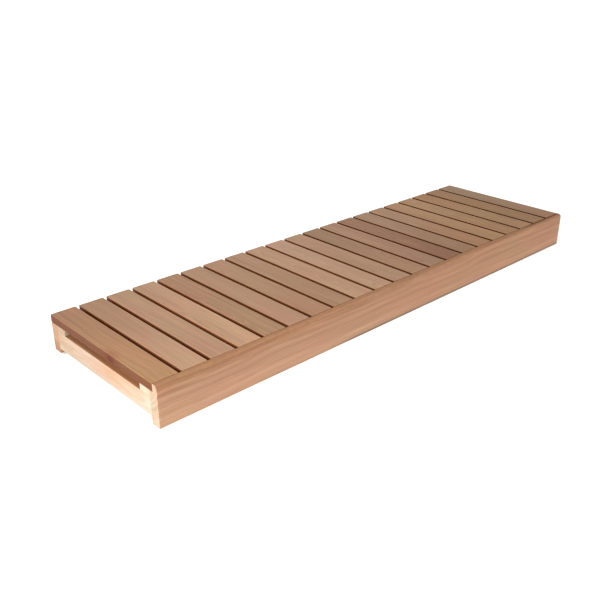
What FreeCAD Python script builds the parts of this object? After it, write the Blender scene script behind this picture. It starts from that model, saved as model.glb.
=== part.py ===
import FreeCAD, Part
import math
import os
from collections import namedtuple

# A long slatted step platform for a spa, in cedar, in millimetres.
#
# X runs along the platform, Y from the front fascia to the back, and Z up. The origin is the bottom centre
# of the platform's box, so the fascia's underside lies on Z = 0.
#
# The slats run front to back and rest on two battens. The battens lie flat on cross rails, which stand on
# edge between the fascia and a rear rail. Slat screws come up through the battens, so the deck shows none.

Vector = FreeCAD.Vector

# Driving dimensions.
SLAT_COUNT = 21
SLAT_WIDTH = 89.0
SLAT_GAP = 12.5
SLAT_THICKNESS = 27.0
DEPTH = 610.0
HEIGHT = 140.0

# Fascia: a board with a rebate along its top inner edge, which leaves a tongue in front of the slat ends.
FASCIA_THICKNESS = 38.0
FASCIA_TONGUE = 22.0
FASCIA_NOSE_RADIUS = 12.0
SLAT_END_CLEARANCE = 0.5

# Frame timbers.
BATTEN_WIDTH = 50.0
BATTEN_THICKNESS = 22.0
RAIL_THICKNESS = 38.0
CROSS_RAIL_HEIGHT = 64.0
REAR_RAIL_HEIGHT = 102.0
CROSS_RAIL_SLATS = (5, 10, 15)  # the slats, counted from 0, that the inner cross rails stand under

# Rounding of the timbers' edges.
SLAT_EDGE_RADIUS = 2.0
SLAT_END_RADIUS = 1.0
FASCIA_EDGE_RADIUS = 3.0
FRAME_EDGE_RADIUS = 2.0

# Fasteners. The clearance is the radial gap between a fastener and its hole.
Screw = namedtuple("Screw", "length shank_radius head_radius")
SLAT_SCREW = Screw(40.0, 2.1, 4.1)
CROSSING_SCREW = Screw(60.0, 2.5, 5.0)
LONG_SCREW = Screw(75.0, 2.5, 5.0)
SCREW_HEAD_RIM = 0.5
SCREW_TIP_RATIO = 2.5  # length of the point over the shank's radius
SCREW_POINT_RADIUS = 0.3
SOCKET_WIDTH_RATIO = 0.62  # width of the square driver socket over the head's radius
SOCKET_DEPTH_RATIO = 0.5
DOWEL_RADIUS = 5.0
DOWEL_LENGTH = 60.0
DOWEL_CHAMFER = 1.5
DOWEL_IN_FASCIA = 25.0
FASTENER_CLEARANCE = 0.05
HOLE_END_GAP = 2.0  # a hole runs this far past its fastener's end

# Spacing of the fasteners.
SLAT_SCREW_SPREAD = 50.0  # between the two screws across a slat
END_SLAT_SCREWS = (50.0, 75.0)  # from the platform's end, so that they miss the end cross rail
CROSSING_SCREW_OFFSETS = ((-9.0, -13.0), (9.0, 13.0))  # diagonal, to miss the cross rails' end fasteners
RAIL_END_SPREAD = 30.0  # between the two fasteners in a cross rail's end
EDGE_SCREW_GAPS = (1, 5, 8, 11, 14, 18)  # the slat gaps, counted from 0, that these screws lie under

# Places that follow from the dimensions.
SLAT_PITCH = SLAT_WIDTH + SLAT_GAP
LENGTH = SLAT_COUNT * SLAT_WIDTH + (SLAT_COUNT - 1) * SLAT_GAP
X_LEFT = -LENGTH / 2
X_RIGHT = LENGTH / 2
Y_FRONT = -DEPTH / 2
Y_BACK = DEPTH / 2
Y_REBATE = Y_FRONT + FASCIA_TONGUE
Y_FASCIA_BACK = Y_FRONT + FASCIA_THICKNESS
Y_REAR_RAIL = Y_BACK - RAIL_THICKNESS
Y_FRONT_BATTEN = Y_FASCIA_BACK + BATTEN_WIDTH / 2
Y_REAR_BATTEN = Y_REAR_RAIL - BATTEN_WIDTH / 2
Z_SLATS = HEIGHT - SLAT_THICKNESS
Z_BATTENS = Z_SLATS - BATTEN_THICKNESS
Z_CROSS_RAILS = Z_BATTENS - CROSS_RAIL_HEIGHT
Z_CROSS_RAIL_MIDDLE = Z_CROSS_RAILS + CROSS_RAIL_HEIGHT / 2

UP = Vector(0, 0, 1)
DOWN = Vector(0, 0, -1)
FORWARD = Vector(0, -1, 0)
BACKWARD = Vector(0, 1, 0)


def slat_centre(index):
    """X of a slat's centre line, with slats counted from 0 at the left."""
    return X_LEFT + SLAT_WIDTH / 2 + index * SLAT_PITCH


def gap_centre(index):
    """X of the middle of the gap to the right of a slat."""
    return slat_centre(index) + SLAT_PITCH / 2


def cross_rail_centres():
    """X of each cross rail's middle, from left to right."""
    inner = [slat_centre(index) for index in CROSS_RAIL_SLATS]
    return [X_LEFT + RAIL_THICKNESS / 2, *inner, X_RIGHT - RAIL_THICKNESS / 2]


def slat_screw_places(index):
    """X of the two screws across a slat."""
    if index == 0:
        return [X_LEFT + offset for offset in END_SLAT_SCREWS]
    if index == SLAT_COUNT - 1:
        return [X_RIGHT - offset for offset in END_SLAT_SCREWS]
    return around(slat_centre(index), SLAT_SCREW_SPREAD)


def around(middle, spread):
    """Two places with the given spread about a middle."""
    return [middle - spread / 2, middle + spread / 2]


# Solids.


def rounded_outline(corners):
    """Closed wire through square corners, given as (point, radius). A radius of 0 leaves a corner sharp."""
    ends = []
    arcs = []
    for index, (point, radius) in enumerate(corners):
        back = (corners[index - 1][0] - point).normalize()
        ahead = (corners[(index + 1) % len(corners)][0] - point).normalize()
        entry = point + back * radius
        leave = point + ahead * radius
        ends.append((entry, leave))
        if radius:
            middle = point + (back + ahead) * radius * (1 - math.sqrt(0.5))
            arcs.append(Part.Arc(entry, middle, leave).toShape())
    lines = [Part.makeLine(ends[index - 1][1], ends[index][0]) for index in range(len(ends))]
    return Part.Wire(Part.__sortEdges__(lines + arcs))


def timber_along_x(corners, x_from, x_to):
    """Board along X. Corners are (y, z, radius) round its section."""
    outline = rounded_outline([(Vector(x_from, y, z), radius) for y, z, radius in corners])
    return Part.Face(outline).extrude(Vector(x_to - x_from, 0, 0))


def timber_along_y(corners, y_from, y_to):
    """Board along Y. Corners are (x, z, radius) round its section."""
    outline = rounded_outline([(Vector(x, y_from, z), radius) for x, z, radius in corners])
    return Part.Face(outline).extrude(Vector(0, y_to - y_from, 0))


def rectangle(middle, width, z_from, z_to, radius):
    """Corners of an upright rectangular section with one radius on all four."""
    left, right = around(middle, width)
    return [(left, z_from, radius), (right, z_from, radius), (right, z_to, radius), (left, z_to, radius)]


def revolved(points):
    """Solid of revolution about Z from (radius, z) points that start and end on the axis."""
    outline = Part.makePolygon([Vector(radius, 0, z) for radius, z in [*points, points[0]]])
    return Part.Face(outline).revolve(Vector(0, 0, 0), UP, 360)


def placed(shape, point, direction):
    """Copy of a shape drawn from the origin along -Z, moved to start at a point and run another way."""
    copy = shape.copy()
    copy.Placement = FreeCAD.Placement(point, FreeCAD.Rotation(DOWN, direction))
    return copy


def screw_solid(screw):
    """Countersunk screw with a square socket. Its thread is drawn as a plain shank."""
    length, shank, head = screw
    neck = SCREW_HEAD_RIM + head - shank
    body = revolved(
        [
            (0, 0),
            (head, 0),
            (head, -SCREW_HEAD_RIM),
            (shank, -neck),
            (shank, SCREW_TIP_RATIO * shank - length),
            (SCREW_POINT_RADIUS, -length),
            (0, -length),
        ]
    )
    width = SOCKET_WIDTH_RATIO * head
    depth = SOCKET_DEPTH_RATIO * head
    socket = Part.makeBox(width, width, depth, Vector(-width / 2, -width / 2, -depth))
    return body.cut(socket)


def screw_hole(screw):
    """Countersunk hole for a screw, as a solid to cut away."""
    shank = screw.shank_radius + FASTENER_CLEARANCE
    head = screw.head_radius + FASTENER_CLEARANCE
    neck = SCREW_HEAD_RIM + head - shank
    end = screw.length + HOLE_END_GAP
    return revolved([(0, 0), (head, 0), (head, -SCREW_HEAD_RIM), (shank, -neck), (shank, -end), (0, -end)])


def dowel_solid():
    """Dowel with chamfered ends."""
    rim = DOWEL_RADIUS - DOWEL_CHAMFER
    return revolved(
        [
            (0, 0),
            (rim, 0),
            (DOWEL_RADIUS, -DOWEL_CHAMFER),
            (DOWEL_RADIUS, DOWEL_CHAMFER - DOWEL_LENGTH),
            (rim, -DOWEL_LENGTH),
            (0, -DOWEL_LENGTH),
        ]
    )


def dowel_hole():
    """Hole for a dowel, past both of its ends, as a solid to cut away."""
    radius = DOWEL_RADIUS + FASTENER_CLEARANCE
    end = DOWEL_LENGTH + HOLE_END_GAP
    return revolved([(0, HOLE_END_GAP), (radius, HOLE_END_GAP), (radius, -end), (0, -end)])


# Timbers, before their holes.


def slat(index):
    """Deck board, rounded along its four long edges and eased round its ends."""
    section = rectangle(slat_centre(index), SLAT_WIDTH, Z_SLATS, HEIGHT, SLAT_EDGE_RADIUS)
    y_front = Y_REBATE + SLAT_END_CLEARANCE
    board = timber_along_y(section, y_front, Y_BACK)
    end_edges = [edge for edge in board.Edges if edge.BoundBox.YLength < SLAT_END_RADIUS]
    return board.makeFillet(SLAT_END_RADIUS, end_edges)


def front_fascia():
    """Front board with a rounded nose, and a rebate that takes the slats' front ends."""
    corners = [
        (Y_FRONT, 0, FASCIA_EDGE_RADIUS),
        (Y_FASCIA_BACK, 0, FASCIA_EDGE_RADIUS),
        (Y_FASCIA_BACK, Z_SLATS, 0),
        (Y_REBATE, Z_SLATS, 0),
        (Y_REBATE, HEIGHT, FASCIA_EDGE_RADIUS),
        (Y_FRONT, HEIGHT, FASCIA_NOSE_RADIUS),
    ]
    return timber_along_x(corners, X_LEFT, X_RIGHT)


def rear_rail():
    """Rail on edge under the slats' back ends."""
    middle = Y_BACK - RAIL_THICKNESS / 2
    z_bottom = Z_SLATS - REAR_RAIL_HEIGHT
    section = rectangle(middle, RAIL_THICKNESS, z_bottom, Z_SLATS, FRAME_EDGE_RADIUS)
    return timber_along_x(section, X_LEFT, X_RIGHT)


def batten(y_middle):
    """Flat strip that carries the slats and takes their screws."""
    section = rectangle(y_middle, BATTEN_WIDTH, Z_BATTENS, Z_SLATS, FRAME_EDGE_RADIUS)
    return timber_along_x(section, X_LEFT, X_RIGHT)


def cross_rail(x_middle):
    """Rail on edge from the fascia to the rear rail, under both battens."""
    section = rectangle(x_middle, RAIL_THICKNESS, Z_CROSS_RAILS, Z_BATTENS, FRAME_EDGE_RADIUS)
    return timber_along_y(section, Y_FASCIA_BACK, Y_REAR_RAIL)


def timbers():
    """Every timber by name, without holes."""
    boards = {f"slat_{index + 1:02d}": slat(index) for index in range(SLAT_COUNT)}
    boards["front_fascia"] = front_fascia()
    boards["rear_rail"] = rear_rail()
    boards["front_batten"] = batten(Y_FRONT_BATTEN)
    boards["rear_batten"] = batten(Y_REAR_BATTEN)
    names = ("left", "mid_left", "centre", "mid_right", "right")
    for name, x_middle in zip(names, cross_rail_centres()):
        boards[f"cross_rail_{name}"] = cross_rail(x_middle)
    return boards


# Fasteners: each group is a list of places, as the point where it starts and the way it runs.


def slat_screws(y_batten):
    """Up through a batten into every slat."""
    places = [x for index in range(SLAT_COUNT) for x in slat_screw_places(index)]
    return [(Vector(x, y_batten, Z_BATTENS), UP) for x in places]


def crossing_screws():
    """Down through both battens into every cross rail, with their heads under the slats."""
    return [
        (Vector(x + x_offset, y + y_offset, Z_SLATS), DOWN)
        for x in cross_rail_centres()
        for y in (Y_FRONT_BATTEN, Y_REAR_BATTEN)
        for x_offset, y_offset in CROSSING_SCREW_OFFSETS
    ]


def edge_screws(y_head, direction):
    """Along Y through a batten's width into the board beside it."""
    z = (Z_BATTENS + Z_SLATS) / 2
    return [(Vector(gap_centre(index), y_head, z), direction) for index in EDGE_SCREW_GAPS]


def rail_end_places(y, direction):
    """Two places, one above the other, at every cross rail's end."""
    return [
        (Vector(x, y, z), direction)
        for x in cross_rail_centres()
        for z in around(Z_CROSS_RAIL_MIDDLE, RAIL_END_SPREAD)
    ]


def fastener_groups():
    """Each group by name: the fastener's solid, its hole, and its places."""
    slat_screw = (screw_solid(SLAT_SCREW), screw_hole(SLAT_SCREW))
    crossing_screw = (screw_solid(CROSSING_SCREW), screw_hole(CROSSING_SCREW))
    long_screw = (screw_solid(LONG_SCREW), screw_hole(LONG_SCREW))
    dowel = (dowel_solid(), dowel_hole())
    y_front_batten_back = Y_FASCIA_BACK + BATTEN_WIDTH
    y_rear_batten_front = Y_REAR_RAIL - BATTEN_WIDTH
    y_dowel = Y_FASCIA_BACK - DOWEL_IN_FASCIA
    return {
        "slat_screws_front": (*slat_screw, slat_screws(Y_FRONT_BATTEN)),
        "slat_screws_rear": (*slat_screw, slat_screws(Y_REAR_BATTEN)),
        "crossing_screws": (*crossing_screw, crossing_screws()),
        "fascia_screws": (*long_screw, edge_screws(y_front_batten_back, FORWARD)),
        "rear_batten_screws": (*long_screw, edge_screws(y_rear_batten_front, BACKWARD)),
        "rear_rail_screws": (*long_screw, rail_end_places(Y_BACK, FORWARD)),
        "fascia_dowels": (*dowel, rail_end_places(y_dowel, BACKWARD)),
    }


def drilled(board, holes):
    """A board with every hole that reaches it cut away."""
    reaching = [hole for hole in holes if hole.BoundBox.intersect(board.BoundBox)]
    return board.cut(reaching).Solids[0]


def main():
    os.makedirs("parts", exist_ok=True)
    holes = []
    for name, (solid, hole, places) in fastener_groups().items():
        fasteners = [placed(solid, point, direction) for point, direction in places]
        Part.makeCompound(fasteners).exportStep(f"parts/{name}.step")
        holes += [placed(hole, point, direction) for point, direction in places]
    for name, board in timbers().items():
        drilled(board, holes).exportStep(f"parts/{name}.step")


main()
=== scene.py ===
import math
import random

import bmesh
import bpy
import numpy as np
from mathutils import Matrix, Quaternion, Vector, geometry, noise


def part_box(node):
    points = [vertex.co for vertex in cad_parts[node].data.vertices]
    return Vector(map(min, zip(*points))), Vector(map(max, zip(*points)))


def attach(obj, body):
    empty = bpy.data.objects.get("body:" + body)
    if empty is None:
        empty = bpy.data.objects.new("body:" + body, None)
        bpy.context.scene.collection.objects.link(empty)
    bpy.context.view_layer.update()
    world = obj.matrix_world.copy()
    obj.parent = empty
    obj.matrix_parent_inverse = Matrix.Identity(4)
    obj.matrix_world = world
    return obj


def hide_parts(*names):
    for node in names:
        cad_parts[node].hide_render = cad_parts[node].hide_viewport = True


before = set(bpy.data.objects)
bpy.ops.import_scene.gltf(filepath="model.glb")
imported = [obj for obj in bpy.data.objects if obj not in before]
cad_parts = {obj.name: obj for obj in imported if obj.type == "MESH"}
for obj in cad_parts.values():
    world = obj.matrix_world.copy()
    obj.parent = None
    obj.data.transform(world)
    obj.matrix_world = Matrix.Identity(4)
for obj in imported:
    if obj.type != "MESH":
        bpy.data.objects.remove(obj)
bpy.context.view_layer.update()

# The looks of a slatted cedar step, in metres. Every timber and fastener is rebuilt as a finer mesh in the
# place its CAD node holds, and takes a solid wood or steel material, so the grain runs through each board.

SLATS = sorted(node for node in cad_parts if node.startswith("slat_") and "screws" not in node)
CROSS_RAILS = sorted(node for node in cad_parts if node.startswith("cross_rail_"))

# Timber sections.
SLAT_RADIUS = 0.002
SLAT_END_EASE = 0.0012
FASCIA_TONGUE = 0.022
FASCIA_NOSE = 0.012
FASCIA_RADIUS = 0.003
FRAME_RADIUS = 0.002
CUT_RADIUS = 0.0014  # a corner that the CAD leaves sharp; wider than the ease and relief together
CUT_EASE = 0.0006  # the arris round a sawn end
ARC_STEPS = 6
EASE_STEPS = 4
EDGE_FADE = 0.004  # how far wear reaches from an arris

# Mesh spacing: round the section on shown, half-hidden and hidden faces, along the board, over its ends.
FINE = 0.0016
MEDIUM = 0.003
PLAIN = 0.005
ROW_STEP = 0.009
CAP_STEP = 0.003
CAP_MARGIN = 0.35  # least distance from an end's inner points to its outline, over CAP_STEP
SLAT_SPACINGS = (PLAIN, FINE, MEDIUM)  # the bottom, the top and the sides
FRAME_SPACINGS = (MEDIUM, MEDIUM, MEDIUM)

# Relief, always cut inwards, as (depth, scale of its noise): raised grain, the plane's unevenness, and
# rubbed arrises. Saw marks have a scale across the board and one up it.
GRAIN = (0.00010, 420)
GRAIN_STRETCH = 0.05  # scale along the board over that across it
PLANE_MARKS = (0.00025, 11)
RUBBING = (0.00035, 23)
RUBBING_BIAS = 0.3
RUBBING_SHIFT = (7, 3, 5)
SAW_MARKS = (0.00015, 90, 600)

# Screws. SMALL and LARGE are the radii of the head and of the shank.
SMALL = (0.0041, 0.0021)
LARGE = (0.0050, 0.0025)
SCREWS = {  # the axis that each node's screws lie along, and their radii
    "slat_screws_front": (2, SMALL),
    "slat_screws_rear": (2, SMALL),
    "crossing_screws": (2, LARGE),
    "fascia_screws": (1, LARGE),
    "rear_batten_screws": (1, LARGE),
    "rear_rail_screws": (1, LARGE),
}
DRILLED = {  # the screws whose holes show in each board
    "front_batten": ("slat_screws_front", "fascia_screws"),
    "rear_batten": ("slat_screws_rear", "rear_batten_screws"),
    "rear_rail": ("rear_rail_screws",),
}
SCREW_SEGMENTS = 16
HEAD_RIM = 0.0005  # height of the head's straight rim
HEAD_TOP = 0.93  # radius of the head's flat top over the head's
HEAD_EASE = 0.0002
SOCKET_FLOOR = ((0.24, 0.50), (0.30, 0.42))  # square rings as (half width, depth) over the head's radius
SOCKET_MOUTH = ((0.324, 0.00015), (0.36, 0.0))  # square rings as (half width over the head's radius, depth)
THREAD_START = 0.3  # share of the length under the head that has no thread
THREAD_PITCH = 0.0024
THREAD_ROWS = 5  # rows of vertices in one pitch
THREAD_DEPTH = 0.0006
POINT_LENGTH = 2.4  # over the shank's radius
POINT_WIDTH = 0.15  # over the core's radius
SCREW_SHARPNESS = math.radians(35)

# Holes and dowels.
HOLE_GAP = 0.00015
HOLE_LEAD = 0.002  # how far a cutter stands out of the board's face
HOLE_END_GAP = 0.001
DOWEL_RADIUS = 0.005
DOWEL_CHAMFER = 0.3  # over the dowel's radius
FLUTE_DEPTH = 0.035  # over the dowel's radius
FLUTES = 16
DOWEL_SHARPNESS = math.radians(40)
FASTENER_REACH = 0.011  # vertices this near across the axis belong to one fastener

# Colours: linear reflectance of clean, planed faces. A slat drifts from its front tone to its back tone.
# Some tints below are painted shade.
TONES = {
    "cream": (0.390, 0.234, 0.146),
    "pearl": (0.378, 0.232, 0.160),
    "sand": (0.346, 0.208, 0.132),
    "straw": (0.340, 0.195, 0.108),
    "tan": (0.316, 0.188, 0.119),
    "honey": (0.304, 0.170, 0.087),
    "rose": (0.296, 0.168, 0.100),
    "amber": (0.285, 0.153, 0.078),
    "bran": (0.266, 0.156, 0.095),
    "moss": (0.264, 0.176, 0.107),
    "clay": (0.262, 0.143, 0.083),
    "russet": (0.256, 0.140, 0.068),
    "umber": (0.198, 0.102, 0.056),
    "sap": (0.490, 0.390, 0.305),
    "blush": (0.405, 0.308, 0.240),
    "peach": (0.425, 0.265, 0.172),
    "fawn": (0.352, 0.250, 0.178),
    "rust": (0.345, 0.225, 0.147),
    "brick": (0.300, 0.168, 0.106),
}
SLAT_TONES = (
    "honey-clay sand-bran tan-tan cream-sand rose-rose tan-tan rose-tan "
    "rose-tan sand-sand sand-pearl tan-sand rose-bran bran-tan umber-clay "
    "clay-tan amber-tan honey-straw amber-straw honey-honey russet-amber clay-moss"
).split()
GAP_SIDE_SHADES = ((0.78, 0.44, 0.21), (0.18, 0.085, 0.035))  # the first and last slats' long sides in the gaps: their own darker colour, with painted shade that deepens towards the last slat
# Painted shade low down on a slat's side in a gap.
GAP_DEEP_SHADE = (0.22, 0.11, 0.05)
OUTER_SIDE = (0.43, 0.265, 0.175)
SLAT_END = (0.80, 0.74, 0.70)
FASCIA_TONE = (0.397, 0.229, 0.148)
FASCIA_HEART = (0.364, 0.204, 0.127)
# Painted shade: the fascia grows darker towards its far end.
FASCIA_FAR_SHADE = (0.96, 0.93, 0.88)
FASCIA_TOP = (0.75, 0.69, 0.58)
FASCIA_CROWN = (0.74, 0.66, 0.56)
FASCIA_END = (1.15, 1.50, 1.75)
# Painted shadow in the seam behind the fascia's tongue, near the far end.
FASCIA_SEAM_SHADE = (0.42, 0.27, 0.20)
FRAME_WOOD = {  # tones at one end, the other end and near the heart; pith from the middle; heart's radius
    "front_batten": ("sap-sap-blush", (0, 0.03, -0.06), 0.055),
    "rear_batten": ("fawn-sap-peach", (0, 0.02, -0.07), 0.058),
    "rear_rail": ("rust-rust-brick", (0, 0.01, -0.085), 0.078),
    "cross_rail": ("sap-blush-peach", (0.10, 0.17, 0.012), 0.118),
}
# Painted shade on the tops of rails and battens, under the slats.
RAIL_TOP_SHADE = (0.66, 0.50, 0.37)
DOWEL_TONE = (0.45, 0.32, 0.20)
KNOT_TONES = ((0.050, 0.006, 0.002), (0.130, 0.024, 0.009))
STEEL = (0.60, 0.59, 0.57)
STEEL_DULL = (0.50, 0.48, 0.45)

# Cedar's grain as noise: stretch along the board, scale, octaves, roughness and weight. BANDS are noise
# from ring to ring: scale, octaves and weight.
GRAINS = {
    "fibre": (0.012, 750.0, 3.0, 0.6, 0.26),
    "hair": (0.02, 2600.0, 2.0, 0.6, 0.16),
    "streak": (0.016, 190.0, 2.0, 0.5, 0.30),
    "dash": (0.07, 75.0, 2.0, 0.5, 0.26),
    "cloud": (0.25, 22.0, 3.0, 0.5, 0.16),
}
BANDS = ((0.33, 3.0, 0.34), (0.07, 2.0, 0.24))
LATEWOOD_WEIGHT = -0.26
PATTERN_BIAS = 0.04
RING_BEND = 0.022
RING_FLUTTER = 0.7
HEART_WANDER = 0.020
CROWN_WANDER = 0.05
WORN_SHARE = 0.30
KNOT_STRETCH = 0.4
WOOD_BUMP = (0.6, 0.0004)  # strength and distance
WOOD_SHEEN = 0.1
STEEL_BUMP = (0.3, 0.0001)

# Tints, which multiply a tone.
ROSY = (1.03, 0.97, 0.97)
GOLDEN = (0.98, 1.01, 0.96)
LATEWOOD_TINT = (1.0, 0.88, 0.80)
# Painted shade: a grey line along the fascia's foot, stronger towards the far end.
FOOT_SHADE_TINT = (0.45, 0.58, 0.66)
WORN_TINT = (1.35, 1.30, 1.25)
KNOT_HALO = (0.72, 0.52, 0.40)

# Grain of each kind of board: width of a year's ring, strength of the pattern, and where the pith lies.
SLAT_RINGS = (0.0016, 0.0026)
SLAT_CONTRAST = (0.75, 1.1)
SLAT_PITH_RISE = (0.05, 0.16)  # above or below the slat's middle
SLAT_PITH_SHIFT = 0.09
FASCIA_RING = 0.0024
FASCIA_CONTRAST = 1.2
FASCIA_PITH = (0, 0.05, 0.02)  # from the middle of the fascia's top rear edge
FASCIA_HEART_RADIUS = 0.15
FRAME_RINGS = (0.002, 0.003)
FRAME_CONTRAST = 0.7
DOWEL_RING = 0.004
DOWEL_CONTRAST = 0.4

# Knot in the first slat's outer side.
KNOT_PLACE = -0.063  # along the slat
KNOT_DROP = 0.0145  # under the deck
KNOT_RADIUS = 0.012

# Camera, lights and floor.
WHITE = (1.0, 1.0, 1.0)
TENT_LIGHT = 0.85  # strength of the world's light; the camera sees it as plain white
LIGHTS = {  # place, target, size, power and tint
    "key": ((-3.4, -0.9, 2.0), (-0.6, 0, 0.1), 1.3, 124, (1.0, 0.985, 0.96)),
    "fill": ((2.4, -3.6, 0.9), (0.4, 0, 0.1), 1.6, 31, WHITE),
}
FLOOR_HALF = 60.0
FLOOR_TONE = (0.90, 0.90, 0.90)
FLOOR_GLOW = 0.27
FLOOR_ROUGHNESS = 0.8
FLOOR_SHEEN = 0.1
CAMERA_PLACE = (-1.986, -1.867, 1.230)
CAMERA_AZIMUTH = math.radians(-43.69)
CAMERA_ELEVATION = math.radians(25.67)
CAMERA_ROLL = math.radians(0.23)
CAMERA_LENS = 44.71
CAMERA_CLIP = 200.0


# Mesh code.


def outline(corners):
    """Points, outward normals and wear round a closed section.

    The corners are square and run anticlockwise, as (x, y, radius, spacing). The spacing is that of the
    points on the side after the corner. Wear is 1 on a rounded arris and fades out on the flats beside it.
    """
    points, normals, wear = [], [], []
    for index, (x, y, radius, spacing) in enumerate(corners):
        corner = Vector((x, y))
        following = corners[(index + 1) % len(corners)]
        run = Vector(following[:2]) - corner
        ahead = run.normalized()
        back = (Vector(corners[index - 1][:2]) - corner).normalized()
        convex = back.cross(ahead) < 0
        centre = corner + (back + ahead) * radius
        for step in range(ARC_STEPS + 1):
            angle = math.pi / 2 * step / ARC_STEPS
            spoke = -ahead * math.cos(angle) - back * math.sin(angle)
            points.append(centre + spoke * radius)
            normals.append(spoke if convex else -spoke)
            wear.append(float(convex))
        length = run.length - radius - following[2]
        steps = max(1, round(length / spacing))
        for step in range(1, steps):
            place = length * step / steps
            points.append(corner + ahead * (radius + place))
            normals.append(Vector((ahead.y, -ahead.x)))
            wear.append(max(0.0, 1 - min(place, length - place) / EDGE_FADE))
    return np.array(points), np.array(normals), np.array(wear)


def rows_along(start, end, ease, step):
    """Places along a board as (place, inset, wear), with a rounded arris at both ends."""
    eased = []
    for index in range(EASE_STEPS + 1):
        angle = math.pi / 2 * (1 - index / EASE_STEPS)
        eased.append((ease * (1 - math.sin(angle)), ease * (1 - math.cos(angle)), 1.0))
    count = max(1, round((end - start - 2 * ease) / step))
    middle = []
    for index in range(1, count):
        place = ease + (end - start - 2 * ease) * index / count
        near = min(place, end - start - place)
        middle.append((start + place, 0.0, max(0.0, 1 - near / EDGE_FADE)))
    first = [(start + place, inset, wear) for place, inset, wear in eased]
    last = [(end - place, inset, wear) for place, inset, wear in reversed(eased)]
    return first + middle + last


def relief(point, along, wear):
    """Depth cut from a planed face at a point: raised grain, plane marks and a rubbed arris."""
    stretch = Vector((GRAIN_STRETCH, 1, 1)) if along == "x" else Vector((1, GRAIN_STRETCH, 1))
    depth = GRAIN[0] * share(noise.noise(point * stretch * GRAIN[1]))
    depth += PLANE_MARKS[0] * share(noise.noise(point * PLANE_MARKS[1]))
    rub = noise.noise(point * RUBBING[1] + Vector(RUBBING_SHIFT))
    return depth + RUBBING[0] * wear * max(0.0, RUBBING_BIAS + rub)


def share(value):
    """Number from 0 to 1 for one from -1 to 1."""
    return 0.5 + 0.5 * value


def cap_faces(loop, spacing):
    """Triangles over a closed loop of 2-D points, and the points added inside it."""
    low, high = loop.min(0), loop.max(0)
    grid = [
        Vector((x, y))
        for x in np.arange(low[0] + spacing / 2, high[0], spacing)
        for y in np.arange(low[1] + spacing / 2, high[1], spacing)
    ]
    ring = [Vector(point) for point in loop]
    inside = [point for point in grid if clear_inside(point, loop, spacing * CAP_MARGIN)]
    sides = [(index, (index + 1) % len(ring)) for index in range(len(ring))]
    made = geometry.delaunay_2d_cdt(ring + inside, sides, [], 1, 1e-9)
    sources = [found[0] for found in made[3]]
    return [[sources[corner] for corner in face] for face in made[2]], inside


def clear_inside(point, loop, margin):
    """Whether a point lies inside a closed loop, further from its points than a margin."""
    offsets = loop - np.array(point)
    if (offsets**2).sum(1).min() < margin**2:
        return False
    x, y = offsets.T
    next_x, next_y = np.roll(x, -1), np.roll(y, -1)
    crossing = (y > 0) != (next_y > 0)
    rise = np.where(crossing, next_y - y, 1.0)
    return bool(np.count_nonzero(crossing & (x - y * (next_x - x) / rise > 0)) % 2)


def lengthwise(along, place, across):
    """Point in the row frame from a place along a board and a point of its section."""
    return Vector((place, *across)) if along == "x" else Vector((across[0], place, across[1]))


def board(name, node, along, corners, ease):
    """Board in a CAD node's place: its section swept along X or Y, with relief, and with sawn ends."""
    section, normals, wear = outline(corners)
    low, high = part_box(node)
    axis = "xyz".index(along)
    rows = rows_along(low[axis], high[axis], ease, ROW_STEP)
    mesh = bmesh.new()
    worn = mesh.verts.layers.float.new("wear")
    loops = []
    for place, inset, end_wear in rows:
        loop = []
        for across, normal, side_wear in zip(section, normals, wear):
            rubbed = max(side_wear, end_wear)
            point = lengthwise(along, place, across)
            depth = inset + relief(point, along, rubbed)
            vertex = mesh.verts.new(lengthwise(along, place, across - normal * depth))
            vertex[worn] = rubbed
            loop.append(vertex)
        loops.append(loop)
    for loop, following in zip(loops, loops[1:]):
        for index in range(len(loop)):
            beside = (index + 1) % len(loop)
            mesh.faces.new((loop[index], loop[beside], following[beside], following[index]))
    cap(mesh, loops[0], along, low[axis], 1)
    cap(mesh, loops[-1], along, high[axis], -1)
    return finished(mesh, name, node)


def cap(mesh, loop, along, place, inwards):
    """Sawn end of a board: faces over a loop of vertices, with rough wood inside it."""
    kept = [number for number in range(3) if number != "xyz".index(along)]
    ring = np.array([[vertex.co[number] for number in kept] for vertex in loop])
    faces, inside = cap_faces(ring, CAP_STEP)
    depth, across_scale, upright_scale = SAW_MARKS
    vertices = list(loop)
    for point in inside:
        rough = share(noise.noise(Vector((point.x * across_scale, point.y * upright_scale, place))))
        vertices.append(mesh.verts.new(lengthwise(along, place + inwards * depth * rough, point)))
    for face in faces:
        mesh.faces.new([vertices[corner] for corner in face])


def linked(mesh, name):
    """Object in the scene from a bmesh, which is freed."""
    data = bpy.data.meshes.new(name)
    mesh.to_mesh(data)
    mesh.free()
    piece = bpy.data.objects.new(name, data)
    bpy.context.scene.collection.objects.link(piece)
    return piece


def finished(mesh, name, node):
    """Object from a bmesh, smooth and facing outwards, which rides on the body and stands for a node."""
    bmesh.ops.recalc_face_normals(mesh, faces=mesh.faces)
    piece = linked(mesh, name)
    piece.data.shade_smooth()
    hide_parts(node)
    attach(piece, "root")
    return piece


def rectangle(node, along, radius, spacings):
    """Corners of a board's section from its CAD box. The spacings are for the bottom, top and sides."""
    low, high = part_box(node)
    across = 1 if along == "x" else 0
    left, right = low[across], high[across]
    bottom, top, side = spacings
    return [
        (left, low.z, radius, bottom),
        (right, low.z, radius, side),
        (right, high.z, radius, top),
        (left, high.z, radius, side),
    ]


# Fasteners.


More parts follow.
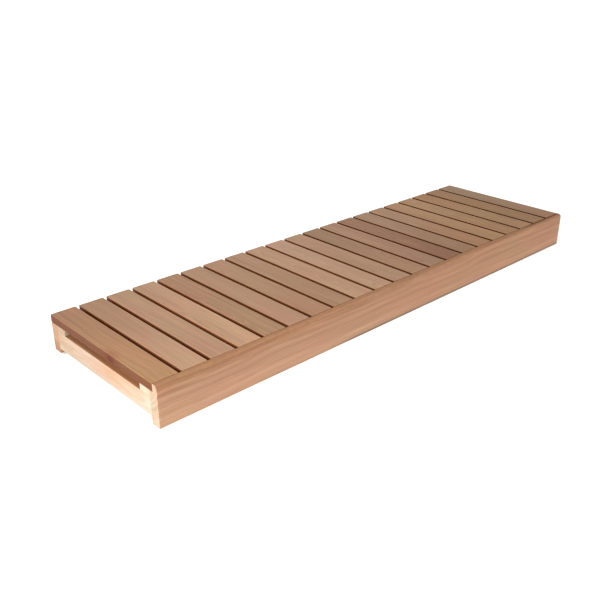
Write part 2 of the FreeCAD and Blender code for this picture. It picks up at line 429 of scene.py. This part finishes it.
def fastener_places(node, axis):
    """Each fastener in a CAD node, as (middle of its head, unit vector to its tip, length)."""
    vertices = np.array([vertex.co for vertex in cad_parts[node].data.vertices])
    across = [number for number in range(3) if number != axis]
    places = []
    while len(vertices):
        gap = np.linalg.norm(vertices[:, across] - vertices[0, across], axis=1)
        mine, vertices = vertices[gap < FASTENER_REACH], vertices[gap >= FASTENER_REACH]
        low, high = mine.min(0), mine.max(0)
        middle = (low + high) / 2
        widest = mine[np.linalg.norm((mine - middle)[:, across], axis=1).argmax(), axis]
        forwards = widest < middle[axis]
        middle[axis] = low[axis] if forwards else high[axis]
        direction = np.zeros(3)
        direction[axis] = 1 if forwards else -1
        places.append((middle, direction, high[axis] - low[axis]))
    return places


def turned(rows, segments):
    """Vertices and faces of a closed solid from rings along -Z. A row is (radius for an angle, depth)."""
    angles = np.arange(segments) * 2 * math.pi / segments
    points = [
        (radius(angle) * math.cos(angle), radius(angle) * math.sin(angle), -depth)
        for radius, depth in rows
        for angle in angles
    ]
    faces = [tuple(range(segments)), tuple(range(len(points) - segments, len(points)))]
    for row in range(len(rows) - 1):
        for index in range(segments):
            beside = (index + 1) % segments
            ring = row * segments
            faces.append((ring + index, ring + beside, ring + segments + beside, ring + segments + index))
    return np.array(points), faces


def circle(size):
    """Ring radius that is the same at every angle."""
    return lambda angle: size


def square(size):
    """Ring radius of a square with a half width."""
    return lambda angle: size / max(abs(math.cos(angle)), abs(math.sin(angle)))


def thread(core, depth):
    """Ring radius of a screw thread at a depth, with its ridge turned round the axis as it goes down."""

    def radius(angle):
        turn = (depth / THREAD_PITCH + angle / (2 * math.pi)) % 1
        return core + THREAD_DEPTH * max(0.0, 1 - abs(turn - 0.5) * 4)

    return radius


def screw_rows(length, head, shank):
    """Rings of a countersunk screw, from the bottom of its square socket out and down to the point."""
    neck = HEAD_RIM + head - shank
    threaded = neck + (length - neck) * THREAD_START
    point = length - shank * POINT_LENGTH
    core = shank - THREAD_DEPTH
    rows = [(square(head * width), head * depth) for width, depth in SOCKET_FLOOR]
    rows += [(square(head * width), depth) for width, depth in SOCKET_MOUTH]
    rows += [(circle(head * HEAD_TOP), 0.0), (circle(head), HEAD_EASE), (circle(head), HEAD_RIM)]
    rows += [(circle(shank), neck), (circle(shank), threaded)]
    count = round((point - threaded) / THREAD_PITCH * THREAD_ROWS)
    for index in range(1, count + 1):
        depth = threaded + (point - threaded) * index / count
        rows.append((thread(core, depth), depth))
    rows += [(circle(core), point), (circle(core * POINT_WIDTH), length)]
    return rows


def hole_rows(length, head, shank):
    """Rings of the hole that a screw fills, from just outside the board's face."""
    neck = HEAD_RIM + head - shank
    return [
        (circle(head + HOLE_GAP), -HOLE_LEAD),
        (circle(head + HOLE_GAP), HEAD_RIM),
        (circle(shank + HOLE_GAP), neck),
        (circle(shank + HOLE_GAP), length + HOLE_END_GAP),
    ]


def fluted(angle):
    """Ring radius of a dowel with flutes along it."""
    return DOWEL_RADIUS * (1 - FLUTE_DEPTH + FLUTE_DEPTH * math.cos(angle * FLUTES))


def dowel_rows(length):
    """Rings of a fluted dowel with chamfered ends."""
    chamfer = DOWEL_RADIUS * DOWEL_CHAMFER
    tip = circle(DOWEL_RADIUS - chamfer)
    return [(tip, 0.0), (fluted, chamfer), (fluted, length / 2), (fluted, length - chamfer), (tip, length)]


def copies(mesh, places, shape, spin):
    """Adds a turned shape to a bmesh at every place, each turned about its axis by a draw from spin."""
    points, faces = shape
    for head, direction, _ in places:
        turn = Vector((0, 0, -1)).rotation_difference(Vector(direction)).to_matrix()
        angle = spin.uniform(0, 2 * math.pi)
        cosine, sine = math.cos(angle), math.sin(angle)
        about = np.array([[cosine, -sine, 0], [sine, cosine, 0], [0, 0, 1]])
        placed = points @ about.T @ np.array(turn).T + head
        vertices = [mesh.verts.new(point) for point in placed]
        for face in faces:
            mesh.faces.new([vertices[corner] for corner in face])


def screws(node):
    """All the screws of a CAD node as one piece, and the places and the shape of their holes."""
    axis, radii = SCREWS[node]
    places = fastener_places(node, axis)
    length = places[0][2]
    mesh = bmesh.new()
    copies(mesh, places, turned(screw_rows(length, *radii), SCREW_SEGMENTS), random.Random(node))
    piece = finished(mesh, node + "_steel", node)
    piece.data.set_sharp_from_angle(angle=SCREW_SHARPNESS)
    piece.data.materials.append(steel_material())
    return places, turned(hole_rows(length, *radii), SCREW_SEGMENTS)


def drill(piece, groups):
    """Cuts the holes of some groups of screws out of a board."""
    mesh = bmesh.new()
    for places, shape in groups:
        copies(mesh, places, shape, random.Random(0))
    bmesh.ops.recalc_face_normals(mesh, faces=mesh.faces)
    cutter = linked(mesh, "holes")
    cut = piece.modifiers.new("holes", "BOOLEAN")
    cut.operation = "DIFFERENCE"
    cut.solver = "MANIFOLD"
    cut.object = cutter
    bpy.context.view_layer.update()
    drilled = piece.evaluated_get(bpy.context.evaluated_depsgraph_get())
    result = bpy.data.meshes.new_from_object(drilled)
    piece.modifiers.clear()
    piece.data = result
    bpy.data.objects.remove(cutter)


# Materials.


class Nodes:
    """Short calls that add nodes to a tree. An input may be a socket, a number or a tuple."""

    def __init__(self, tree):
        self.tree = tree

    def add(self, kind, inputs=(), **settings):
        node = self.tree.nodes.new(kind)
        for name, value in settings.items():
            setattr(node, name, value)
        for key, value in dict(inputs).items():
            if isinstance(value, bpy.types.NodeSocket):
                self.tree.links.new(value, node.inputs[key])
            else:
                node.inputs[key].default_value = value
        return node

    def math(self, operation, *values, clamp=False):
        settings = {"operation": operation, "use_clamp": clamp}
        return self.add("ShaderNodeMath", enumerate(values), **settings).outputs[0]

    def vector(self, operation, *values, output=0):
        node = self.add("ShaderNodeVectorMath", enumerate(values), operation=operation)
        return node.outputs[output]

    def dot(self, first, second):
        return self.vector("DOT_PRODUCT", first, second, output=1)

    def length(self, vector):
        return self.vector("LENGTH", vector, output=1)

    def scaled(self, vector, factor):
        node = self.add("ShaderNodeVectorMath", {0: vector, "Scale": factor}, operation="SCALE")
        return node.outputs[0]

    def noise(self, vector, scale, detail=2.0, rough=0.5):
        inputs = {"Vector": vector, "Scale": scale, "Detail": detail, "Roughness": rough}
        return self.add("ShaderNodeTexNoise", inputs).outputs

    def noise_on(self, value, scale, detail=2.0):
        inputs = {"W": value, "Scale": scale, "Detail": detail}
        return self.add("ShaderNodeTexNoise", inputs, noise_dimensions="1D").outputs["Fac"]

    def fade(self, value, start, end, low=0.0, high=1.0):
        inputs = {"Value": value, "From Min": start, "From Max": end, "To Min": low, "To Max": high}
        return self.add("ShaderNodeMapRange", inputs, interpolation_type="SMOOTHSTEP").outputs[0]

    def mix(self, factor, first, second, blend="MIX"):
        inputs = {0: factor, 6: first, 7: second}
        node = self.add("ShaderNodeMix", inputs, data_type="RGBA", blend_type=blend)
        return node.outputs[2]

    def tint(self, factor, base, tint):
        return self.mix(factor, base, tint, "MULTIPLY")

    def grey(self, value):
        return self.add("ShaderNodeCombineColor", {0: value, 1: value, 2: value}).outputs[0]

    def bump(self, height, strength, distance):
        inputs = {"Strength": strength, "Distance": distance, "Height": height}
        return self.add("ShaderNodeBump", inputs).outputs[0]

    def surface(self, inputs):
        shader = self.add("ShaderNodeBsdfPrincipled", inputs)
        self.add("ShaderNodeOutputMaterial", {"Surface": shader.outputs[0]})


def colour(values):
    """Four numbers from three."""
    return (*values, 1.0)


def between(start, end, share):
    """Tint part of the way from one to another."""
    return [first + (last - first) * share for first, last in zip(start, end)]


def change(start, end):
    """Tint that takes one named tone to another."""
    return [last / first for first, last in zip(TONES[start], TONES[end])]


CEDAR_INPUTS = (
    ("Along", "NodeSocketVector", (0, 1, 0)),
    ("Pith", "NodeSocketVector", (0, 0, 0)),
    ("Reach", "NodeSocketFloat", 0.3),
    ("Tone", "NodeSocketColor", (0.4, 0.25, 0.16, 1)),
    ("Far Tint", "NodeSocketColor", (1, 1, 1, 1)),
    ("Inner", "NodeSocketColor", (0.4, 0.25, 0.16, 1)),
    ("Inner Radius", "NodeSocketFloat", 0.0),
    ("Top", "NodeSocketColor", (1, 1, 1, 1)),
    ("Side", "NodeSocketColor", (1, 1, 1, 1)),
    ("Deep", "NodeSocketColor", (1, 1, 1, 1)),
    ("Deck Level", "NodeSocketFloat", 9.0),
    ("Outwards", "NodeSocketVector", (0, 0, 0)),
    ("Outer Side", "NodeSocketColor", (1, 1, 1, 1)),
    ("End", "NodeSocketColor", (1, 1, 1, 1)),
    ("Crown", "NodeSocketColor", (1, 1, 1, 1)),
    ("Foot", "NodeSocketFloat", 0.0),
    ("Seam", "NodeSocketFloat", 9.0),
    ("Seam Tint", "NodeSocketColor", (1, 1, 1, 1)),
    ("Ring", "NodeSocketFloat", 0.002),
    ("Contrast", "NodeSocketFloat", 1.0),
    ("Knot", "NodeSocketVector", (9, 9, 9)),
    ("Knot Radius", "NodeSocketFloat", 0.008),
)


class Cedar(Nodes):
    """Solid cedar. It works from distances to the board's pith, so rings, fibres and ends all agree.

    Each method adds one stage and keeps the sockets that later stages use.
    """

    def grain(self, stretch, scale, detail=2.0, rough=0.5):
        """Noise about the pith, drawn out along the board."""
        drawn = self.vector("ADD", self.radial, self.scaled(self.axial, stretch))
        return self.noise(drawn, scale, detail, rough)["Fac"]

    def place(self):
        """Place in the tree, along the pith and away from it, and the way that the face looks."""
        self.given = self.add("NodeGroupInput").outputs
        self.along = self.given["Along"]
        self.point = self.add("ShaderNodeTexCoord").outputs["Object"]
        offset = self.vector("SUBTRACT", self.point, self.given["Pith"])
        self.axial = self.scaled(self.along, self.dot(offset, self.along))
        self.radial = self.vector("SUBTRACT", offset, self.axial)
        self.normal = self.add("ShaderNodeNewGeometry").outputs["True Normal"]
        self.upwards = self.add("ShaderNodeSeparateXYZ", {0: self.normal}).outputs["Z"]
        self.end = self.fade(self.math("ABSOLUTE", self.dot(self.normal, self.along)), 0.55, 0.9)
        parts = self.add("ShaderNodeSeparateXYZ", {0: self.point}).outputs
        self.across, self.height = parts["Y"], parts["Z"]
        self.sunk = self.math("SUBTRACT", self.given["Deck Level"], self.height)

    def knot(self):
        """Distance to the knot over its radius, with the knot drawn out along the grain."""
        away = self.vector("SUBTRACT", self.point, self.given["Knot"])
        eased = self.math("MULTIPLY", self.dot(away, self.along), KNOT_STRETCH)
        gap = self.length(self.vector("SUBTRACT", away, self.scaled(self.along, eased)))
        self.knot_share = self.math("DIVIDE", gap, self.given["Knot Radius"])
        self.knot_halo = self.fade(self.knot_share, 3.2, 0.8)

    def rings(self):
        """Rings by distance to the pith, bent by slow noise and pushed round the knot."""
        slow = self.vector("ADD", self.scaled(self.radial, 5.0), self.scaled(self.axial, 3.2))
        bend = self.vector("SUBTRACT", self.noise(slow, 1.0)["Color"], (0.5, 0.5, 0.5))
        bent = self.vector("ADD", self.radial, self.scaled(bend, RING_BEND))
        push = self.math("MULTIPLY", self.knot_halo, self.given["Knot Radius"])
        self.distance = self.math("ADD", self.length(bent), push)
        flutter = self.math("MULTIPLY", self.math("SUBTRACT", self.grain(0.03, 160.0), 0.5), RING_FLUTTER)
        self.years = self.math("ADD", self.math("DIVIDE", self.distance, self.given["Ring"]), flutter)
        year = self.math("FRACT", self.years)
        self.latewood = self.math("MULTIPLY", self.math("POWER", year, 4.0), self.fade(year, 1.0, 0.93))
        self.grains = {name: self.grain(*values[:-1]) for name, values in GRAINS.items()}
        patchy = self.fade(self.grains["cloud"], 0.3, 0.7, 0.35, 1.0)
        self.patchy_rings = self.math("MULTIPLY", self.latewood, patchy)

    def tone(self):
        """Tone that drifts from one end to the other, and from the heart of the tree to its sapwood."""
        unsteady = self.math("SUBTRACT", self.grains["cloud"], 0.5)
        reach = self.given["Reach"]
        place = self.dot(self.point, self.along)
        wandering = self.math("ADD", place, self.math("MULTIPLY", unsteady, reach))
        self.far = self.fade(wandering, self.math("MULTIPLY", reach, -1.0), reach)
        self.cornered = self.fade(self.math("DIVIDE", place, reach), 0.68, 0.84)
        ragged = self.math("ADD", self.distance, self.math("MULTIPLY", unsteady, HEART_WANDER))
        depth = self.math("SUBTRACT", ragged, self.given["Inner Radius"])
        base = self.mix(self.fade(depth, 0.006, -0.004), self.given["Tone"], self.given["Inner"])
        # On the fascia the far tint is painted shade towards the far end.
        base = self.tint(self.far, base, self.given["Far Tint"])
        drift = self.fade(self.grain(0.4, 9.0), 0.3, 0.7)
        return self.mix(drift, self.tint(1.0, base, colour(ROSY)), self.tint(1.0, base, colour(GOLDEN)))

    def grained(self, base):
        """Every pattern as one factor about 1. Contrast scales them together, and late wood is redder."""
        bands = [(self.noise_on(self.years, scale, detail), weight) for scale, detail, weight in BANDS]
        fibres = [(self.grains[name], values[-1]) for name, values in GRAINS.items()]
        pattern = self.math("MULTIPLY_ADD", self.patchy_rings, LATEWOOD_WEIGHT, PATTERN_BIAS)
        for value, weight in bands + fibres:
            centred = self.math("SUBTRACT", value, 0.5)
            pattern = self.math("ADD", pattern, self.math("MULTIPLY", centred, weight))
        factor = self.math("MULTIPLY_ADD", pattern, self.given["Contrast"], 1.0)
        return self.tint(
            self.math("MULTIPLY", self.patchy_rings, 0.5),
            self.tint(1.0, base, self.grey(factor)),
            colour(LATEWOOD_TINT),
        )

    def faced(self, base):
        """Tints of tops, long sides and sawn ends. A side in a gap gets painted shade, darker low down."""
        given = self.given
        upright = self.fade(self.math("ABSOLUTE", self.upwards), 0.75, 0.25)
        side = self.math("MULTIPLY", upright, self.math("SUBTRACT", 1.0, self.end))
        # Painted shade in the gaps: the side tint turns to the deep tint low down.
        gap_shade = self.tint(self.fade(self.sunk, -0.002, 0.011), given["Side"], given["Deep"])
        outwards = self.fade(self.dot(self.normal, given["Outwards"]), 0.3, 0.8)
        # On a rail or batten the top tint is painted shade from the slats above.
        topped = self.tint(self.fade(self.upwards, 0.3, 0.95), base, given["Top"])
        sided = self.tint(side, topped, self.mix(outwards, gap_shade, given["Outer Side"]))
        return self.tint(self.end, sided, given["End"])

    def crowned(self, base):
        """A darker crown near a board's top edge, weaker towards the far end."""
        uneven = self.math("MULTIPLY", self.math("SUBTRACT", self.grains["streak"], 0.5), CROWN_WANDER)
        crown = self.fade(self.math("ADD", self.sunk, uneven), 0.050, 0.008)
        crown = self.math("MULTIPLY", crown, self.fade(self.far, 0.0, 0.5, 1.0, 0.35))
        crown = self.math("MULTIPLY", crown, self.fade(self.upwards, 0.85, 0.45))
        crown = self.math("MULTIPLY", crown, self.math("SUBTRACT", 1.0, self.end))
        return self.tint(crown, base, self.given["Crown"])

    def foot_and_seam_shaded(self, base):
        """Painted shade at the foot, more of it towards the far end, and painted shadow in the seam behind
        a tongue there.
        """
        low = self.math("MULTIPLY", self.fade(self.height, 0.013, 0.004), self.fade(self.far, 0.05, 0.35))
        foot_shade = self.math("MULTIPLY", low, self.fade(self.grains["cloud"], 0.1, 0.6, 0.5, 1.0))
        footed = self.tint(self.math("MULTIPLY", foot_shade, self.given["Foot"]), base, colour(FOOT_SHADE_TINT))
        # Painted shadow in the seam behind the tongue, towards the far end.
        seam = self.fade(self.math("SUBTRACT", self.given["Seam"], self.across), 0.017, 0.005)
        seam = self.math("MULTIPLY", seam, self.cornered)
        seam = self.math("MULTIPLY", seam, self.fade(self.upwards, 0.2, 0.7))
        return self.tint(seam, footed, self.given["Seam Tint"])

    def worn(self, base):
        """Wear that lightens the arrises in patches."""
        wear = self.add("ShaderNodeAttribute", attribute_name="wear").outputs["Fac"]
        patchy = self.fade(self.noise(self.point, 60.0, 3.0)["Fac"], 0.35, 0.7)
        rubbed = self.math("MULTIPLY", self.math("MULTIPLY", wear, patchy), WORN_SHARE)
        return self.tint(rubbed, base, colour(WORN_TINT))

    def knotted(self, base):
        """The knot itself, ringed and dark, with a warm halo."""
        halo = self.tint(self.math("MULTIPLY", self.knot_halo, 0.55), base, colour(KNOT_HALO))
        turns = self.fade(self.noise_on(self.knot_share, 9.0, 2.0), 0.3, 0.7)
        dark = self.mix(turns, *(colour(tone) for tone in KNOT_TONES))
        heart = self.math("MULTIPLY", self.fade(self.knot_share, 1.15, 0.6), 0.95)
        return self.mix(heart, halo, dark)

    def finish(self, coloured):
        """Outputs of the group."""
        fibre, hair = self.grains["fibre"], self.grains["hair"]
        sawn = self.math("MULTIPLY", self.end, 0.18)
        raised = self.math("ADD", self.math("MULTIPLY", fibre, 0.5), self.math("MULTIPLY", hair, 0.25))
        result = {
            "Colour": coloured,
            "Roughness": self.math("ADD", self.math("MULTIPLY_ADD", fibre, 0.22, 0.42), sawn),
            "Height": self.math("ADD", raised, self.math("MULTIPLY", self.latewood, 0.35)),
        }
        self.add("NodeGroupOutput", result)


def cedar_group():
    """The cedar group's tree, with its inputs and outputs."""
    tree = bpy.data.node_groups.new("cedar", "ShaderNodeTree")
    for name, kind, default in CEDAR_INPUTS:
        socket = tree.interface.new_socket(name, in_out="INPUT", socket_type=kind)
        socket.default_value = default
    for name, kind in (("Colour", "Color"), ("Roughness", "Float"), ("Height", "Float")):
        tree.interface.new_socket(name, in_out="OUTPUT", socket_type="NodeSocket" + kind)
    wood = Cedar(tree)
    wood.place()
    wood.knot()
    wood.rings()
    coloured = wood.tone()
    for stage in (wood.grained, wood.faced, wood.crowned, wood.foot_and_seam_shaded, wood.worn, wood.knotted):
        coloured = stage(coloured)
    wood.finish(coloured)
    return tree


def blank_material(name):
    """Material with an empty node tree, and the calls that fill it."""
    material = bpy.data.materials.new(name)
    material.use_nodes = True
    material.node_tree.nodes.clear()
    return material, Nodes(material.node_tree)


def cedar_material(name, along, **inputs):
    """Cedar for one board. The inputs are those of the cedar group, with _ for a space."""
    inputs.setdefault("Inner", inputs["Tone"])
    material, n = blank_material(name)
    group = n.add("ShaderNodeGroup", node_tree=CEDAR)
    group.inputs["Along"].default_value = (1, 0, 0) if along == "x" else (0, 1, 0)
    for key, value in inputs.items():
        group.inputs[key.replace("_", " ")].default_value = value
    shader_inputs = {
        "Base Color": group.outputs["Colour"],
        "Roughness": group.outputs["Roughness"],
        "Normal": n.bump(group.outputs["Height"], *WOOD_BUMP),
        "Specular IOR Level": WOOD_SHEEN,
    }
    n.surface(shader_inputs)
    return material


def steel_material():
    """Bright stainless steel with fine turning marks, made once."""
    made = bpy.data.materials.get("screw_steel_look")
    if made:
        return made
    material, n = blank_material("screw_steel_look")
    point = n.add("ShaderNodeTexCoord").outputs["Object"]
    marks = n.noise(point, 1800.0, 3.0)["Fac"]
    dull = n.noise(point, 240.0, 2.0)["Fac"]
    tint = n.mix(n.fade(dull, 0.35, 0.65), colour(STEEL), colour(STEEL_DULL))
    shader_inputs = {
        "Base Color": tint,
        "Metallic": 1.0,
        "Roughness": n.math("MULTIPLY_ADD", marks, 0.25, 0.22),
        "Normal": n.bump(marks, *STEEL_BUMP),
    }
    n.surface(shader_inputs)
    return material


CEDAR = cedar_group()


# Sub-parts.


def slat_pith(node, draw):
    """A point on the axis of the tree that a slat was cut from: below or above it, and to one side."""
    low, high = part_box(node)
    rise = draw.choice((-1, 1)) * draw.uniform(*SLAT_PITH_RISE)
    shift = draw.uniform(-SLAT_PITH_SHIFT, SLAT_PITH_SHIFT)
    return (low + high) / 2 + Vector((shift, draw.uniform(-1, 1), rise))


def slats():
    """Deck boards, each from its own tree. The first has a knot in its outer side."""
    for index, (node, tones) in enumerate(zip(SLATS, SLAT_TONES)):
        draw = random.Random(node)
        corners = rectangle(node, "y", SLAT_RADIUS, SLAT_SPACINGS)
        piece = board(node + "_wood", node, "y", corners, SLAT_END_EASE)
        low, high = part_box(node)
        extra = {}
        if node == SLATS[0]:
            knot = (low.x, KNOT_PLACE, high.z - KNOT_DROP)
            extra = {"Outwards": (-1, 0, 0), "Knot": knot, "Knot_Radius": KNOT_RADIUS}
        elif node == SLATS[-1]:
            extra = {"Outwards": (1, 0, 0)}
        near_tone, far_tone = tones.split("-")
        material = cedar_material(
            node + "_look",
            "y",
            Pith=slat_pith(node, draw),
            Tone=colour(TONES[near_tone]),
            Far_Tint=colour(change(near_tone, far_tone)),
            # Painted shade in the gaps, deeper towards the last slat and low down.
            Side=colour(between(*GAP_SIDE_SHADES, index / (len(SLATS) - 1))),
            Deep=colour(GAP_DEEP_SHADE),
            Deck_Level=high.z,
            Outer_Side=colour(OUTER_SIDE),
            End=colour(SLAT_END),
            Ring=draw.uniform(*SLAT_RINGS),
            Contrast=draw.uniform(*SLAT_CONTRAST),
            **extra,
        )
        piece.data.materials.append(material)


def fascia():
    """Front board with a rounded nose and a rebate behind its tongue."""
    node = "front_fascia"
    low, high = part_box(node)
    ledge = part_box("slat_01")[0].z
    inner = low.y + FASCIA_TONGUE
    corners = [
        (low.y, low.z, FASCIA_RADIUS, PLAIN),
        (high.y, low.z, FASCIA_RADIUS, PLAIN),
        (high.y, ledge, CUT_RADIUS, PLAIN),
        (inner, ledge, CUT_RADIUS, PLAIN),
        (inner, high.z, FASCIA_RADIUS, FINE),
        (low.y, high.z, FASCIA_NOSE, FINE),
    ]
    piece = board(node + "_wood", node, "x", corners, CUT_EASE)
    material = cedar_material(
        node + "_look",
        "x",
        Pith=Vector((0, high.y, high.z)) + Vector(FASCIA_PITH),
        Reach=high.x,
        Tone=colour(FASCIA_TONE),
        # Painted shade towards the far end.
        Far_Tint=colour(FASCIA_FAR_SHADE),
        Inner=colour(FASCIA_HEART),
        Inner_Radius=FASCIA_HEART_RADIUS,
        Top=colour(FASCIA_TOP),
        End=colour(FASCIA_END),
        Deck_Level=high.z,
        Crown=colour(FASCIA_CROWN),
        # Painted shade at the foot, and painted shadow in the seam behind the tongue.
        Foot=1.0,
        Seam=inner,
        Seam_Tint=colour(FASCIA_SEAM_SHADE),
        Ring=FASCIA_RING,
        Contrast=FASCIA_CONTRAST,
    )
    piece.data.materials.append(material)


def frame_board(node, along):
    """Rail or batten, pale where it was cut near the bark and redder towards the heart."""
    kind = "cross_rail" if node in CROSS_RAILS else node
    tones, pith, radius = FRAME_WOOD[kind]
    near_tone, far_tone, heart = tones.split("-")
    low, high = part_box(node)
    corners = rectangle(node, along, FRAME_RADIUS, FRAME_SPACINGS)
    piece = board(node + "_wood", node, along, corners, CUT_EASE)
    material = cedar_material(
        node + "_look",
        along,
        Pith=(low + high) / 2 + Vector(pith),
        Reach=high["xyz".index(along)],
        Tone=colour(TONES[near_tone]),
        Far_Tint=colour(change(near_tone, far_tone)),
        Inner=colour(TONES[heart]),
        # Painted shade on its top, under the slats.
        Inner_Radius=radius,
        Top=colour(RAIL_TOP_SHADE),
        Ring=random.Random(node).uniform(*FRAME_RINGS),
        Contrast=FRAME_CONTRAST,
    )
    piece.data.materials.append(material)
    return piece


def dowels():
    """Fluted hardwood dowels between the fascia and the cross rails."""
    node = "fascia_dowels"
    places = fastener_places(node, 1)
    low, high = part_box(node)
    mesh = bmesh.new()
    copies(mesh, places, turned(dowel_rows(high.y - low.y), 3 * FLUTES), random.Random(node))
    piece = finished(mesh, node + "_wood", node)
    piece.data.set_sharp_from_angle(angle=DOWEL_SHARPNESS)
    material = cedar_material(
        node + "_look",
        "y",
        Tone=colour(DOWEL_TONE),
        Pith=low,
        Ring=DOWEL_RING,
        Contrast=DOWEL_CONTRAST,
    )
    piece.data.materials.append(material)


def build():
    """Every sub-part of the step."""
    slats()
    fascia()
    holes = {node: screws(node) for node in SCREWS}
    for node, groups in DRILLED.items():
        drill(frame_board(node, "x"), [holes[group] for group in groups])
    for node in CROSS_RAILS:
        frame_board(node, "y")
    dowels()


# Studio.


def floor():
    """Plain pale floor, far wider than the view."""
    mesh = bmesh.new()
    signs = ((-1, -1), (1, -1), (1, 1), (-1, 1))
    mesh.faces.new([mesh.verts.new((x * FLOOR_HALF, y * FLOOR_HALF, 0)) for x, y in signs])
    piece = linked(mesh, "floor")
    material = bpy.data.materials.new("floor_look")
    material.use_nodes = True
    shader = material.node_tree.nodes["Principled BSDF"]
    shader.inputs["Base Color"].default_value = colour(FLOOR_TONE)
    shader.inputs["Roughness"].default_value = FLOOR_ROUGHNESS
    shader.inputs["Specular IOR Level"].default_value = FLOOR_SHEEN
    shader.inputs["Emission Color"].default_value = colour(WHITE)
    shader.inputs["Emission Strength"].default_value = FLOOR_GLOW
    piece.data.materials.append(material)


def area_light(name, place, target, size, power, tint):
    """Square soft light aimed at a point."""
    data = bpy.data.lights.new(name, "AREA")
    data.shape = "SQUARE"
    data.size = size
    data.energy = power
    data.color = tint
    light = bpy.data.objects.new(name, data)
    light.location = place
    light.rotation_mode = "QUATERNION"
    light.rotation_quaternion = (Vector(target) - Vector(place)).to_track_quat("-Z", "Y")
    bpy.context.scene.collection.objects.link(light)


def studio():
    """Bright tent: a white world all round, a soft key light at the left and a weak fill at the right."""
    world = bpy.data.worlds.new("studio")
    world.use_nodes = True
    world.node_tree.nodes.clear()
    n = Nodes(world.node_tree)
    seen = n.add("ShaderNodeLightPath").outputs["Is Camera Ray"]
    strength = n.math("ADD", TENT_LIGHT, n.math("MULTIPLY", seen, 1.0 - TENT_LIGHT))
    background = n.add("ShaderNodeBackground", {"Color": colour(WHITE), "Strength": strength})
    n.add("ShaderNodeOutputWorld", {"Surface": background.outputs[0]})
    bpy.context.scene.world = world
    for name, settings in LIGHTS.items():
        area_light(name, *settings)
    bpy.context.scene.view_settings.view_transform = "Standard"


def camera():
    """Camera at the left front corner, looking along the step."""
    data = bpy.data.cameras.new("camera")
    data.lens = CAMERA_LENS
    data.clip_end = CAMERA_CLIP
    eye = bpy.data.objects.new("camera", data)
    level = math.cos(CAMERA_ELEVATION)
    aside = math.sin(CAMERA_AZIMUTH) * level
    ahead = math.cos(CAMERA_AZIMUTH) * level
    back = Vector((aside, -ahead, math.sin(CAMERA_ELEVATION)))
    eye.location = CAMERA_PLACE
    eye.rotation_mode = "QUATERNION"
    level_turn = (-back).to_track_quat("-Z", "Y")
    eye.rotation_quaternion = level_turn @ Quaternion((0, 0, 1), CAMERA_ROLL)
    bpy.context.scene.collection.objects.link(eye)
    bpy.context.scene.camera = eye


build()
floor()
studio()
camera()

bpy.context.view_layer.update()
